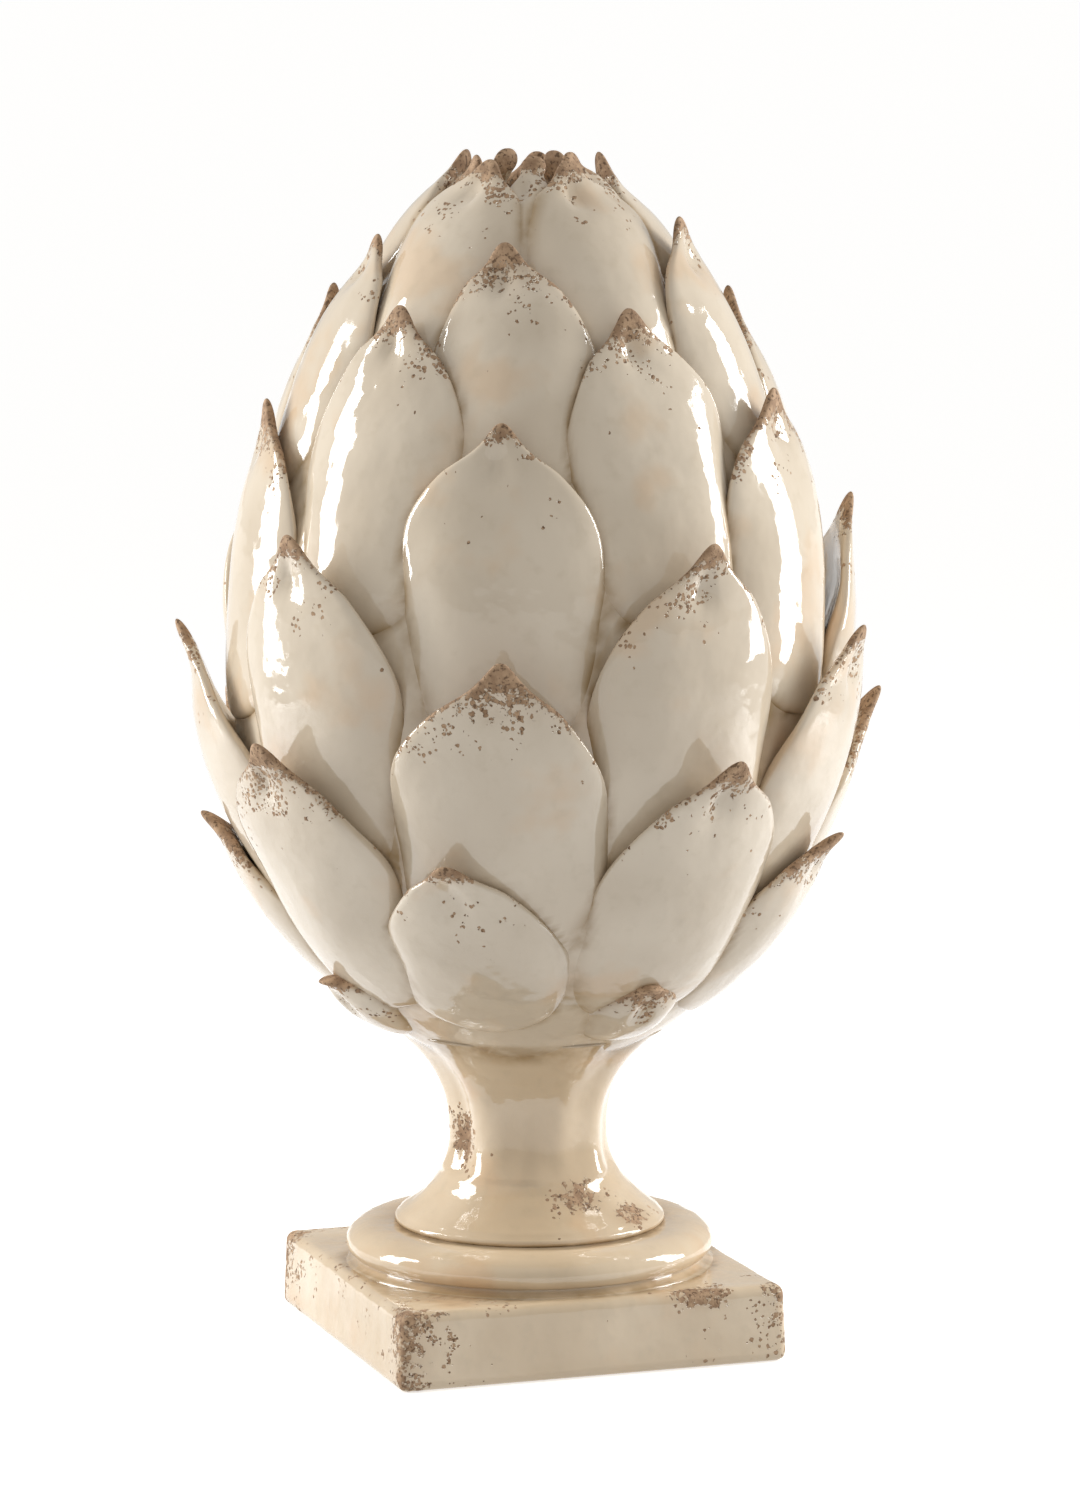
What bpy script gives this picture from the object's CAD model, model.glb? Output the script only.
from math import atan2, copysign, cos, degrees, exp, pi, radians, sin

import bmesh
import bpy
import numpy as np
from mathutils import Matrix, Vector, noise
from mathutils.bvhtree import BVHTree


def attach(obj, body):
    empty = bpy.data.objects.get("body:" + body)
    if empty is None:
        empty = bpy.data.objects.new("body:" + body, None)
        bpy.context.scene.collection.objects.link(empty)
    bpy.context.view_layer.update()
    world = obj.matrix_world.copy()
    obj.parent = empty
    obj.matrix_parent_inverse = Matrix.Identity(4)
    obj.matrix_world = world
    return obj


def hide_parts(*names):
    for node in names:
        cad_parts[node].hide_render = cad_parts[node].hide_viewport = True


# An artichoke finial: hollow terracotta under a thick cream glaze, fired as one casting and
# then rubbed back to the clay at its tips and edges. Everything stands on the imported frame.
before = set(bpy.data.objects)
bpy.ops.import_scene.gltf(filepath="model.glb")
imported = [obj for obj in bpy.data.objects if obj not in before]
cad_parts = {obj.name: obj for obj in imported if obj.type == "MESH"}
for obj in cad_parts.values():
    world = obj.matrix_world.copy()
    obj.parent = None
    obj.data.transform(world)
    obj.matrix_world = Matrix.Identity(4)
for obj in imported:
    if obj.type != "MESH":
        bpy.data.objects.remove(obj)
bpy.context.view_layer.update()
pieces = []


# ---- Egg-shaped body ----
# The hollow heart that carries the leaves: thrown as a thick shell and open below into the
# stem. Little of it shows, in soft creases between leaves.
EGG_RADIUS = 0.153
EGG_MIDDLE_Z = 0.340
EGG_UP = 0.282
EGG_DOWN = 0.198
EGG_POINT = 1.65              # how much more pointed than an ellipse the upper half is
EGG_CUT_Z = 0.588             # where the crown closes the top
BODY_WALL = 0.010
EGG_STEPS = 120


def linear(hex_colour):
    """An sRGB hex colour as the linear colour a shader takes."""
    parts = [int(hex_colour[i:i + 2], 16) / 255 for i in (1, 3, 5)]
    return [p / 12.92 if p <= 0.04045 else ((p + 0.055) / 1.055) ** 2.4 for p in parts] + [1.0]


def add_node(tree, kind, settings=None, inputs=None):
    """Add a node, set its properties, and set or link its inputs."""
    node = tree.nodes.new(kind)
    for name, value in (settings or {}).items():
        setattr(node, name, value)
    for socket, value in (inputs or {}).items():
        if isinstance(value, bpy.types.NodeSocket):
            tree.links.new(value, node.inputs[socket])
        else:
            node.inputs[socket].default_value = value
    return node


def glazed_terracotta(name, deep, pale, blush):
    """Thick tin-white glaze over terracotta: glassy and a little uneven, warm where it runs thin,
    ochre where dirt was rubbed into the creases, and chipped off to matt brown clay."""
    material = bpy.data.materials.new(name)
    material.use_nodes = True
    tree = material.node_tree
    tree.nodes.clear()
    place = add_node(tree, "ShaderNodeTexCoord").outputs["Object"]
    wear = add_node(tree, "ShaderNodeAttribute", {"attribute_name": "wear"}).outputs["Fac"]
    stain = add_node(tree, "ShaderNodeAttribute", {"attribute_name": "stain"}).outputs["Fac"]

    def pattern(size_mm, detail=2.0, rough=0.5, vector=place):
        node = add_node(tree, "ShaderNodeTexNoise", None,
                        {"Vector": vector, "Scale": 1000 / size_mm, "Detail": detail,
                         "Roughness": rough})
        return node.outputs["Fac"]

    def band(value, low, high, to_low=0.0, to_high=1.0):
        node = add_node(tree, "ShaderNodeMapRange", {"interpolation_type": "SMOOTHSTEP"},
                        {"Value": value, "From Min": low, "From Max": high,
                         "To Min": to_low, "To Max": to_high})
        return node.outputs["Result"]

    def maths(operation, a, b):
        node = add_node(tree, "ShaderNodeMath", {"operation": operation}, {0: a, 1: b})
        return node.outputs[0]

    def blend(amount, under, over):
        node = add_node(tree, "ShaderNodeMix", {"data_type": "RGBA"}, {0: amount})
        for socket, value in ((6, under), (7, over)):
            if isinstance(value, str):
                node.inputs[socket].default_value = linear(value)
            else:
                tree.links.new(value, node.inputs[socket])
        return node.outputs[2]

    # glaze colour: cream, cooler where thick, peach where thin
    glaze = blend(band(pattern(70), 0.35, 0.65), deep, pale)
    glaze = blend(maths("MULTIPLY", band(pattern(48, 3), 0.54, 0.70), blush), glaze, "#D9B892")
    glaze = blend(maths("MULTIPLY", band(pattern(9, 4), 0.5, 0.8), 0.25), glaze, "#BFAF94")
    # ochre dirt in the creases
    rubbed = maths("MULTIPLY", stain, band(pattern(16, 3), 0.30, 0.62, 0.25, 1.0))
    glaze = blend(rubbed, glaze, "#A28760")

    # the glaze thins to brown where it was rubbed
    glaze = blend(band(wear, 0.40, 1.05, 0.0, 0.65), glaze, "#B3916B")

    # chips: solid at the tips, breaking into specks further down
    jitter = add_node(tree, "ShaderNodeTexNoise", None,
                      {"Vector": place, "Scale": 1000 / 2.2, "Detail": 3.0})
    shift = add_node(tree, "ShaderNodeVectorMath", {"operation": "SCALE"},
                     {0: jitter.outputs["Color"], "Scale": 0.0018})
    warped = add_node(tree, "ShaderNodeVectorMath", {"operation": "ADD"},
                      {0: place, 1: shift.outputs[0]}).outputs[0]
    cells = add_node(tree, "ShaderNodeTexVoronoi", None,
                     {"Vector": warped, "Scale": 1000 / 2.3, "Randomness": 1.0})
    lot = add_node(tree, "ShaderNodeSeparateColor", None, {"Color": cells.outputs["Color"]})
    patchy = maths("ADD", wear, band(pattern(17, 3), 0.34, 0.66, -0.34, 0.30))
    crowd = maths("LESS_THAN", lot.outputs[0], band(patchy, 0.30, 0.86, 0.0, 0.92))
    size = maths("MULTIPLY", maths("ADD", lot.outputs[1], 0.5), band(patchy, 0.1, 0.8, 0.22, 0.50))
    specks = maths("MULTIPLY", crowd, band(maths("SUBTRACT", size, cells.outputs["Distance"]),
                                           0.0, 0.06))
    ragged = maths("ADD", wear, band(pattern(5, 5, 0.65), 0.3, 0.7, -0.24, 0.24))
    solid = band(ragged, 0.70, 0.74)
    chips = maths("MAXIMUM", specks, solid)

    # bare clay: brown, darker in its pits
    clay = blend(band(pattern(6, 4), 0.35, 0.65), "#96775A", "#B89878")
    clay = blend(band(pattern(1.8, 2), 0.52, 0.66), clay, "#6C5238")
    colour = blend(chips, glaze, clay)

    rough = add_node(tree, "ShaderNodeMix", {"data_type": "FLOAT"},
                     {0: chips, 2: band(pattern(30), 0.3, 0.7, 0.04, 0.09), 3: 0.85})
    swell = maths("ADD", maths("MULTIPLY", pattern(24, 1), 1.1),
                  maths("MULTIPLY", pattern(9, 1), 0.34))
    grain = maths("MULTIPLY", pattern(1.5, 2), maths("MULTIPLY", chips, 0.35))
    height = maths("ADD", maths("SUBTRACT", swell, maths("MULTIPLY", chips, 0.55)), grain)
    bump = add_node(tree, "ShaderNodeBump", None,
                    {"Strength": 1.0, "Distance": 0.001, "Height": height})
    shader = add_node(tree, "ShaderNodeBsdfPrincipled", None,
                      {"Base Color": colour, "Roughness": rough.outputs[0],
                       "Normal": bump.outputs["Normal"], "IOR": 1.68})
    add_node(tree, "ShaderNodeOutputMaterial", None, {"Surface": shader.outputs[0]})
    return material


leaf_glaze = glazed_terracotta("thick_tin_glaze_on_terracotta", "#D2C3AD", "#DDCFBA", 0.45)


def keep_piece(name, bm, material):
    """Finish a bmesh as a smooth piece of the casting, riding on its one body."""
    bmesh.ops.recalc_face_normals(bm, faces=bm.faces[:])
    mesh = bpy.data.meshes.new(name)
    bm.to_mesh(mesh)
    bm.free()
    mesh.shade_smooth()
    mesh.materials.append(material)
    piece = bpy.data.objects.new(name, mesh)
    bpy.context.scene.collection.objects.link(piece)
    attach(piece, "root")
    pieces.append(piece)
    return piece


def spin_outline(outline, steps):
    """Turn an outline of (radius, height) points about Z."""
    bm = bmesh.new()
    points = [bm.verts.new((radius, 0.0, height)) for radius, height in outline]
    edges = [bm.edges.new(pair) for pair in zip(points, points[1:])]
    if outline[0][0] > 0:
        edges.append(bm.edges.new((points[-1], points[0])))
    bmesh.ops.spin(bm, geom=points + edges, axis=(0, 0, 1), cent=(0, 0, 0),
                   angle=2 * pi, steps=steps, use_merge=True)
    bmesh.ops.remove_doubles(bm, verts=bm.verts[:], dist=1e-6)
    return bm


def heading_of(co):
    """Azimuth about the axis in degrees: 0 is the plinth's front, 90 its right side."""
    return degrees(atan2(co.x, -co.y))


def egg_point(angle, inset=0.0):
    """Radius and height on the egg at an angle up from its lower pole."""
    if angle < pi / 2:
        return (EGG_RADIUS - inset) * sin(angle), EGG_MIDDLE_Z - (EGG_DOWN - inset) * cos(angle)
    return ((EGG_RADIUS - inset) * sin(angle) ** EGG_POINT,
            EGG_MIDDLE_Z - (EGG_UP - inset) * cos(angle))


def egg_arc(inset, count, lowest):
    """Points up the egg from an angle above its lower pole to its closed top."""
    top = EGG_CUT_Z - inset
    arc = [egg_point(angle, inset) for angle in np.linspace(radians(lowest), pi, count)]
    arc = [(radius, height) for radius, height in arc if height < top]
    return arc + [(0.6 * arc[-1][0], top + 0.003), (0.0, top + 0.004)]


egg = spin_outline(egg_arc(0.0, 120, 20) + egg_arc(BODY_WALL, 80, 24)[::-1], EGG_STEPS)
keep_piece("egg_body", egg, leaf_glaze)


# ---- Stem ----
# A short thrown stem, flared to a thin lip below and into the body above, with soft upright
# folds where the potter's fingers drew the clay up.
PLINTH_HEIGHT = 0.040
RING_HEIGHT = 0.0210
LIP_HEIGHT = 0.0045
LIP_RADIUS = 0.0706
NECK_RADIUS = 0.0402
NECK_Z = 0.109
NECK_WALL = 0.011
STEM_TOP_RADIUS = 0.0728
STEM_TOP_Z = 0.166
FOLD_DEPTH = 0.0042


def stem_radius(z):
    """The stem flares both ways from its neck."""
    lip_top = PLINTH_HEIGHT + RING_HEIGHT + LIP_HEIGHT
    if z < NECK_Z:
        reach = (NECK_Z - z) / (NECK_Z - lip_top)
        return NECK_RADIUS + (LIP_RADIUS - 0.001 - NECK_RADIUS) * reach ** 2.2
    reach = (z - NECK_Z) / (STEM_TOP_Z - NECK_Z)
    return NECK_RADIUS + (STEM_TOP_RADIUS - NECK_RADIUS) * reach ** 2.5


ring_top = PLINTH_HEIGHT + RING_HEIGHT
lip_roll = LIP_HEIGHT / 2
stem_outline = []
for angle in np.linspace(-pi / 2, pi / 2.6, 10):
    stem_outline.append((LIP_RADIUS - lip_roll + lip_roll * cos(angle),
                         ring_top - 0.0005 + lip_roll + lip_roll * sin(angle)))
for z in np.linspace(ring_top + LIP_HEIGHT + 0.001, STEM_TOP_Z, 60):
    stem_outline.append((stem_radius(z), z))
bore = NECK_RADIUS - NECK_WALL
stem_outline += [(0.060, STEM_TOP_Z + 0.004)]
for z in np.linspace(STEM_TOP_Z, ring_top - 0.002, 24):
    reach = abs(z - NECK_Z) / (STEM_TOP_Z - NECK_Z)
    stem_outline.append((bore + 0.019 * min(reach, 1.0) ** 2, z))
stem = spin_outline(stem_outline, 160)
for vert in stem.verts:
    outward = Vector((vert.co.x, vert.co.y, 0.0))
    if outward.length > bore + 0.022 or vert.co.z > NECK_Z - 0.02:
        spot = outward.normalized() * 2.2
        fold = noise.noise(Vector((spot.x, spot.y, vert.co.z * 9)))
        rise = min(max((vert.co.z - ring_top - 0.008) / 0.02, 0.0), 1.0)
        vert.co += outward.normalized() * FOLD_DEPTH * fold * rise
# two rubbed patches: low on the left, and across the flare on the right
STEM_PATCHES = ((-80, 0.108, 26, 0.020), (12, 0.082, 24, 0.014), (38, 0.070, 22, 0.008))
wear = stem.verts.layers.float.new("wear")
for vert in stem.verts:
    for heading, height, spread, reach in STEM_PATCHES:
        off = ((heading_of(vert.co) - heading) / spread) ** 2 + ((vert.co.z - height) / reach) ** 2
        vert[wear] = max(vert[wear], 0.80 * exp(-off))
stem_glaze = glazed_terracotta("thin_tin_glaze_on_terracotta", "#D3BD9E", "#DFCBAE", 0.60)
keep_piece("stem", stem, stem_glaze)


# ---- Foot ring ----
# A fat half-round ring between the stem's lip and the plinth.
RING_RADIUS = 0.0962
RING_ROLL = 0.017
rise = RING_HEIGHT / 2
ring_outline = [(0.055, PLINTH_HEIGHT - 0.001)]
# a smear of slip fills the joint with the plinth
for out, up in ((0.0980, -0.0004), (0.0945, 0.0006), (0.0915, 0.0018), (0.0895, 0.0034)):
    ring_outline.append((out, PLINTH_HEIGHT + up))
for angle in np.linspace(-pi / 5, pi / 2, 22):
    ring_outline.append((RING_RADIUS - RING_ROLL + RING_ROLL * cos(angle),
                         PLINTH_HEIGHT + rise + rise * sin(angle)))
ring_outline.append((0.055, ring_top))
ring = spin_outline(ring_outline, 180)
for vert in ring.verts:
    wobble = noise.noise(vert.co * 18)
    vert.co += Vector((vert.co.x, vert.co.y, 0.0)).normalized() * 0.0006 * wobble
keep_piece("foot_ring", ring, stem_glaze)


# ---- Plinth ----
# The square base, pressed in a mould with a little draft: soft edges, hollow underneath, and
# knocked about at its corners.
PLINTH_SIDE = 0.210
PLINTH_TAPER = 0.984
PLINTH_EDGE = 0.005
PLINTH_WALL = 0.012

plinth = bmesh.new()
bmesh.ops.create_cube(plinth, size=1.0)
for vert in plinth.verts:
    side = PLINTH_SIDE * (PLINTH_TAPER if vert.co.z > 0 else 1.0)
    vert.co = Vector((vert.co.x * side, vert.co.y * side, PLINTH_HEIGHT * (vert.co.z + 0.5)))
underside = min(plinth.faces, key=lambda face: face.calc_center_median().z)
bmesh.ops.inset_region(plinth, faces=[underside], thickness=PLINTH_WALL)
raised = bmesh.ops.extrude_face_region(plinth, geom=[underside])
plinth.faces.remove(underside)
for vert in [g for g in raised["geom"] if isinstance(g, bmesh.types.BMVert)]:
    vert.co.z += PLINTH_HEIGHT - PLINTH_WALL
outer = [e for e in plinth.edges
         if max(abs(v.co.x) for v in e.verts) > PLINTH_SIDE / 2 - 0.004
         and min(max(abs(v.co.x), abs(v.co.y)) for v in e.verts) > PLINTH_SIDE / 2 - 0.004]
bmesh.ops.bevel(plinth, geom=outer, offset=PLINTH_EDGE, offset_type="OFFSET", segments=5,
                profile=0.5, affect="EDGES", material=-1)
bmesh.ops.subdivide_edges(plinth, edges=[e for e in plinth.edges if e.calc_length() > 0.02],
                          cuts=40, use_grid_fill=True)
# each corner's wear, from the front left round to the right: the front ones are worst
CORNER_WEAR = (((-1, -1), 1.05), ((1, -1), 0.85), ((1, 1), 0.60), ((-1, 1), 1.05))
# a patch knocked off the front's top edge, well to the right
EDGE_PATCH = Vector((0.058, -0.104, PLINTH_HEIGHT))
wear = plinth.verts.layers.float.new("wear")
for vert in plinth.verts:
    half = PLINTH_SIDE / 2
    side_gap = half - max(abs(vert.co.x), abs(vert.co.y))
    top_gap = PLINTH_HEIGHT - vert.co.z
    on_edge = exp(-(max(side_gap, 0.0) + max(top_gap, 0.0)) / 0.010)
    patch = 0.5 + 1.1 * noise.noise(vert.co * 16 + Vector((0.4, 1.7, 0.2)))
    amount = 0.85 * on_edge * patch
    for (side_x, side_y), worst in CORNER_WEAR:
        gap = (Vector((vert.co.x - side_x * half, vert.co.y - side_y * half))).length
        amount = max(amount, worst * exp(-gap / 0.038) * (0.72 + 0.45 * on_edge))
    off_patch = vert.co - EDGE_PATCH
    off_patch.x *= 0.6
    amount = max(amount, 0.95 * exp(-((off_patch.length / 0.015) ** 2)))
    vert[wear] = min(max(amount, 0.0), 1.0) if side_gap < 0.03 or top_gap < 0.001 else 0.0
    if vert.co.z > 0.004:
        vert.co += 0.0007 * noise.noise_vector(vert.co * 22)
keep_piece("plinth", plinth, stem_glaze)


# ---- Leaves ----
# Ten rings of five pressed clay leaves, each ring turned half a leaf from the next and laid
# over the roots of the ring above. Each is pinched to a blunt nub that curls outwards.
LEAF_FRONT = 0.0045
LEAF_BACK = 0.0045
LEAF_ROOT = 0.005
NUB_WIDTH = 0.012
NUB_CURL = 0.006
WIDEST = 0.41                 # how far up a leaf its widest place is, of its length
NUB_START = 0.93              # where its pinched tip begins
BELLY = 0.005                 # how far its middle swells
RIM_RISE = 0.0004
RIPPLE = 0.0026               # the unevenness left by hand-pressing
PINCH_DEPTH = 0.0034          # the finger pinch below the tip
PINCH_BELOW_TIP = 0.021
HOLLOW_DEPTH = 0.0016         # the wider hollow round the pinch
HOLLOW_BELOW_TIP = 0.020
BARE_TIP = 0.0085             # how far down the tip is rubbed to bare clay
RUBBED_REACH = 0.042          # how far down its specks reach
LEAF_SIDES = 56
LEAF_ROWS = 80
# tip height, tip radius, length, width, first azimuth, hand turns (degrees), rises (mm)
RINGS = {
    "heart": (0.609, 0.020, 0.066, 0.026, -25, (6, -5, 4, 8, -3), (-2, 2, 0, 3, -2)),
    "crown": (0.612, 0.035, 0.125, 0.092, 11, (4, 0, -3, 3, 2), (1, 4, 3, 5, 2)),
    "ring_2": (0.578, 0.078, 0.145, 0.088, -25, (1, 4, -4, 3, 1), (-3, 7, 0, 2, -2)),
    "ring_3": (0.545, 0.104, 0.165, 0.100, 11, (0, -2, 3, 6, 6), (-2, 2, 0, 3, -1)),
    "ring_4": (0.493, 0.135, 0.160, 0.112, -25, (0, -2, 5, -3, 1), (-3, 8, 0, -2, 0)),
    "ring_5": (0.434, 0.168, 0.175, 0.110, 11, (1, -2, 4, -4, -2), (-3, 6, 0, 2, -1)),
    "ring_6": (0.379, 0.181, 0.168, 0.110, -25, (0, 4, -3, 5, -7), (-2, 3, 2, -2, 0)),
    "ring_7": (0.330, 0.184, 0.160, 0.108, 11, (4, -2, 5, -4, -7), (-5, 9, 0, 2, 0)),
    "ring_8": (0.276, 0.169, 0.118, 0.090, -25, (-7, 3, -4, 4, -12), (-2, -1, 2, -2, 2)),
    "ring_9": (0.203, 0.122, 0.054, 0.050, 11, (3, -2, 5, -3, -18), (0, 2, -1, 3, -4)),
}


def smoothstep(low, high, value):
    t = min(max((value - low) / (high - low), 0.0), 1.0)
    return t * t * (3 - 2 * t)


def meridian():
    """Lengths, radii, heights and outward normals up one side of the egg."""
    radius, height = np.array([egg_point(a) for a in np.linspace(0.2, pi - 0.02, 900)]).T
    length = np.concatenate([[0.0], np.cumsum(np.hypot(np.diff(radius), np.diff(height)))])
    return length, radius, height, np.gradient(height, length), -np.gradient(radius, length)


MERIDIAN = meridian()


def on_meridian(along):
    return [float(np.interp(along, MERIDIAN[0], values)) for values in MERIDIAN[1:]]


def leaf_width(v):
    """Half-width over the widest half-width: full shoulders, drawn in hollow to the tip."""
    if v < WIDEST:
        return max(1 - ((WIDEST - v) / WIDEST) ** 3, 0.0) ** 0.5
    shoulder = max(1 - ((v - WIDEST) / (1 - WIDEST)) ** 2.4, 0.0)
    return shoulder * (1 - 0.30 * smoothstep(0.85, 0.96, v))


def lay_leaf(bm, tip_z, tip_r, length, width, azimuth, hand):
    """Carry a unit ball onto the leaf; hand is this leaf's own number for its unevenness."""
    distance = np.hypot(MERIDIAN[1] - tip_r, MERIDIAN[2] - tip_z)
    nearest = int(np.argmin(distance))
    stand = max(float(distance[nearest]) - NUB_CURL, 0.002)
    tip_along = float(MERIDIAN[0][nearest])
    wrap = max(0.8 * on_meridian(tip_along - 0.5 * length)[0], 0.030)
    heading = radians(azimuth)
    forward = Vector((sin(heading), -cos(heading), 0.0))
    right = Vector((cos(heading), sin(heading), 0.0))
    lean = 0.0045 * sin(hand * 2.7)
    rubbed = 0.95 + 0.3 * sin(hand * 4.1)
    wear = bm.verts.layers.float.new("wear")
    for vert in bm.verts:
        v = min(max((vert.co.z + 1) / 2, 0.0), 1.0)
        around = atan2(vert.co.y, vert.co.x)
        across = copysign(abs(cos(around)) ** 0.8, cos(around))
        through = copysign(abs(sin(around)) ** (1.3 - 0.5 * smoothstep(0.35, 0.7, v)), sin(around))
        nub_end = max(1 - (max(v - NUB_START, 0.0) / 0.07) ** 2, 0.0) ** 0.5
        nub = NUB_WIDTH / 2 * smoothstep(0.80, NUB_START, v) * nub_end
        uneven = 1 + 0.12 * noise.noise(Vector((v * 3.4, across * 0.8, hand * 3.1)))
        blade = width / 2 * leaf_width(v) * uneven
        half_width = (blade ** 3 + nub ** 3) ** (1 / 3)
        x = half_width * across
        radius, height, out_r, out_z = on_meridian(tip_along - length * (1 - v))
        tall = smoothstep(0.20, 0.78, v)
        lift = 0.001 + stand * v ** 2.2 + NUB_CURL * max((v - 0.84) / 0.16, 0.0) ** 1.6
        belly = BELLY * sin(pi * min(v * 1.1, 1.0)) * (1 - across ** 2)
        free = smoothstep(0.55, 0.80, v)
        end = max(1 - (2 * v - 1) ** 12, 0.0) ** 0.5
        front = (0.0012 + (LEAF_FRONT - 0.0012) * tall) * end
        back = ((lift + LEAF_ROOT) * (1 - free) + LEAF_BACK * free) * end
        dive = (lift + 0.001) * across ** 4 * (1 - smoothstep(0.35, 0.75, v))
        offset = lift - dive + belly + (front if through > 0 else back) * through
        if through > 0:
            rim = smoothstep(0.72, 0.90, abs(across)) * smoothstep(0.35, 0.65, v)
            offset += RIM_RISE * rim * (1 - smoothstep(0.86, NUB_START, v))
            aside = x - 0.003 * sin(hand * 5.0)
            below_tip = (1 - v) * length
            offset -= PINCH_DEPTH * exp(-((below_tip - PINCH_BELOW_TIP) / 0.0085) ** 2
                                        - (aside / 0.0034) ** 2)
            offset -= HOLLOW_DEPTH * exp(-((below_tip - HOLLOW_BELOW_TIP) / 0.014) ** 2
                                         - (aside / 0.0105) ** 2)
            ripple = noise.noise(Vector((x * 24, v * length * 13, hand * 5.3)))
            offset += RIPPLE * ripple * (1 - smoothstep(0.8, 0.95, v))
        x += lean * smoothstep(0.72, 1.0, v)
        turn = x / wrap
        plane_r = radius + offset * out_r - wrap + wrap * cos(turn)
        side = (wrap + offset * out_r) * sin(turn)
        vert.co = forward * plane_r + right * side + Vector((0, 0, height + offset * out_z))
        to_tip = (1 - v) * length
        edge = smoothstep(0.80, 1.0, abs(across)) * smoothstep(0.50, 0.85, v)
        vert[wear] = (0.62 * exp(-((to_tip / BARE_TIP) ** 2))
                      + rubbed * (0.62 * exp(-((to_tip / RUBBED_REACH) ** 2)) + 0.16 * edge))


leaf_count = 0
for ring_name, (tip_z, tip_r, length, width, first, turns, rises) in RINGS.items():
    for index, (turn, rise) in enumerate(zip(turns, rises)):
        leaf_count += 1
        leaf = bmesh.new()
        bmesh.ops.create_uvsphere(leaf, u_segments=LEAF_SIDES, v_segments=LEAF_ROWS, radius=1.0)
        lay_leaf(leaf, tip_z + rise / 1000, tip_r, length, width,
                 first + 72 * index + turn, leaf_count)
        keep_piece(f"{ring_name}_leaf_{index + 1}", leaf, leaf_glaze)


# ---- Dirt in the creases ----
# Every crease between two pieces holds a line of ochre.
CREASE = 0.0035


def mark_creases():
    trees = []
    for piece in pieces:
        mesh = piece.data
        trees.append(BVHTree.FromPolygons([v.co for v in mesh.vertices],
                                          [p.vertices for p in mesh.polygons]))
    boxes = [(np.min([v.co for v in p.data.vertices], axis=0) - CREASE,
              np.max([v.co for v in p.data.vertices], axis=0) + CREASE) for p in pieces]
    for i, piece in enumerate(pieces):
        low_i, high_i = boxes[i]
        others = [k for k in range(len(pieces)) if k != i
                  and (boxes[k][0] < high_i).all() and (boxes[k][1] > low_i).all()]
        stain = piece.data.attributes.new("stain", "FLOAT", "POINT")
        values = np.zeros(len(piece.data.vertices))
        for n, vert in enumerate(piece.data.vertices):
            co = vert.co
            nearest = CREASE
            for k in others:
                low, high = boxes[k]
                if (low[0] < co.x < high[0] and low[1] < co.y < high[1]
                        and low[2] < co.z < high[2]):
                    hit = trees[k].find_nearest(co, nearest)
                    if hit[3] is not None:
                        nearest = min(nearest, hit[3])
            values[n] = (1 - nearest / CREASE) ** 1.5
        stain.data.foreach_set("value", values)


mark_creases()
for piece in pieces:
    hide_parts("artichoke_finial")


# ---- Floor, lights and camera ----
# A white sweep, a tall soft box on each side, and the even light of a pale room.
FLOOR_REACH = 250.0           # far enough for its edge to meet the horizon
BOX_DISTANCE = 1.25
BOX_HEIGHT = 0.62
BOX_POWER = 15

floor = bmesh.new()
bmesh.ops.create_grid(floor, x_segments=1, y_segments=1, size=FLOOR_REACH)
floor_mesh = bpy.data.meshes.new("floor")
floor.to_mesh(floor_mesh)
floor.free()
floor_piece = bpy.data.objects.new("floor", floor_mesh)
bpy.context.scene.collection.objects.link(floor_piece)
floor_piece.visible_diffuse = False
sweep = bpy.data.materials.new("white_paper_sweep")
sweep.use_nodes = True
paper = sweep.node_tree.nodes["Principled BSDF"]
paper.inputs["Base Color"].default_value = (0.85, 0.85, 0.85, 1.0)
paper.inputs["Roughness"].default_value = 0.9
paper.inputs["Emission Color"].default_value = (1.0, 1.0, 1.0, 1.0)
paper.inputs["Emission Strength"].default_value = 0.48
floor_mesh.materials.append(sweep)

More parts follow.
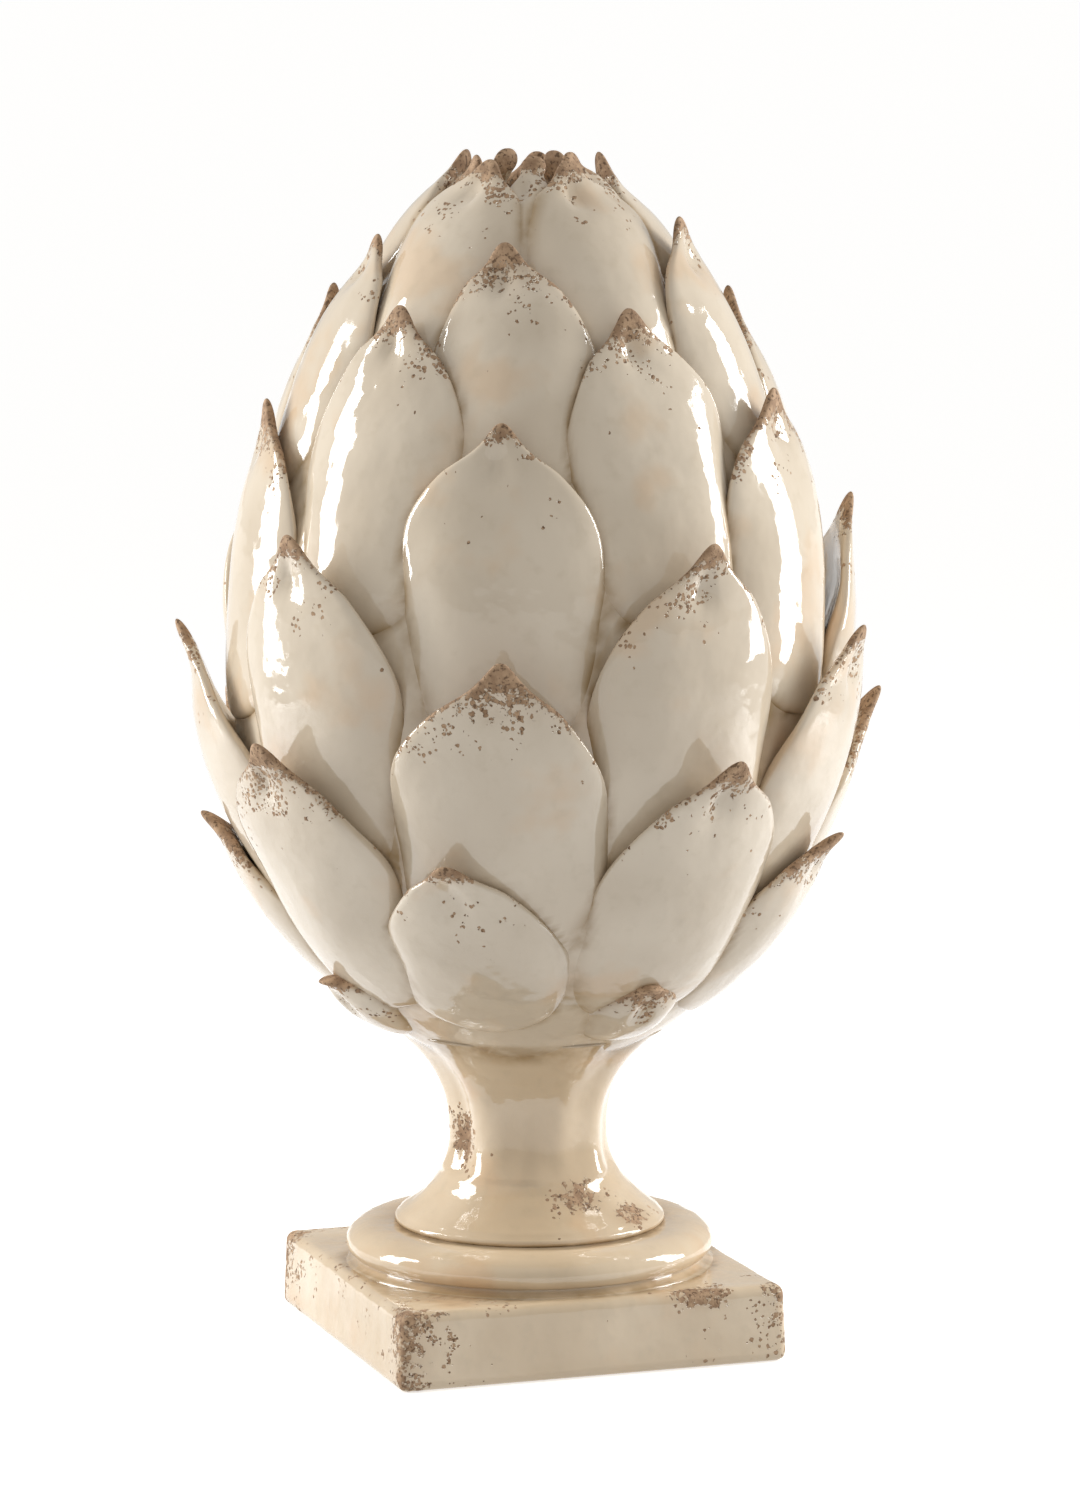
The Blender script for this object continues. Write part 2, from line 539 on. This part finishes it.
VIEW_HEADING = radians(-18.9)
VIEW_DISTANCE = 3.0
VIEW_HEIGHT = 0.741
VIEW_PITCH = radians(8.26)
LENS = 139.2
VIEW_SWING = 0.0018


def studio_place(heading_deg, distance, z):
    angle = VIEW_HEADING + radians(heading_deg)
    return Vector((sin(angle) * distance, -cos(angle) * distance, z))


def soft_box(name, place, width, height, power, aim=(0.0, 0.0, 0.32)):
    light = bpy.data.lights.new(name, "AREA")
    light.shape = "RECTANGLE"
    light.size = width
    light.size_y = height
    light.energy = power
    lamp = bpy.data.objects.new(name, light)
    lamp.location = place
    lamp.rotation_euler = (Vector(aim) - place).to_track_quat("-Z", "Y").to_euler()
    bpy.context.scene.collection.objects.link(lamp)
    return lamp


soft_box("left_soft_box", studio_place(-98, BOX_DISTANCE, BOX_HEIGHT), 0.38, 1.1, BOX_POWER)
soft_box("right_soft_box", studio_place(100, BOX_DISTANCE, BOX_HEIGHT), 0.42, 1.0, BOX_POWER)

world = bpy.data.worlds.new("studio")
bpy.context.scene.world = world
world.use_nodes = True
# an even pale room, a little brighter below from the sweep's bounce
sky = world.node_tree
direction = add_node(sky, "ShaderNodeTexCoord").outputs["Generated"]
up = add_node(sky, "ShaderNodeSeparateXYZ", None, {0: direction}).outputs["Z"]
strength = add_node(sky, "ShaderNodeMapRange", {"interpolation_type": "SMOOTHSTEP"},
                    {"Value": up, "From Min": -0.35, "From Max": 0.25, "To Min": 0.62,
                     "To Max": 0.60}).outputs["Result"]
sky.nodes["Background"].inputs["Color"].default_value = (1.0, 0.99, 0.97, 1.0)
sky.links.new(strength, sky.nodes["Background"].inputs["Strength"])
bpy.context.scene.view_settings.view_transform = "Standard"

camera_data = bpy.data.cameras.new("camera")
camera_data.lens = LENS
camera_data.sensor_width = 36.0
camera = bpy.data.objects.new("camera", camera_data)
camera.location = studio_place(0, VIEW_DISTANCE, VIEW_HEIGHT)
camera.rotation_euler = (pi / 2 - VIEW_PITCH, 0.0, VIEW_HEADING - VIEW_SWING)
bpy.context.scene.collection.objects.link(camera)
bpy.context.scene.camera = camera
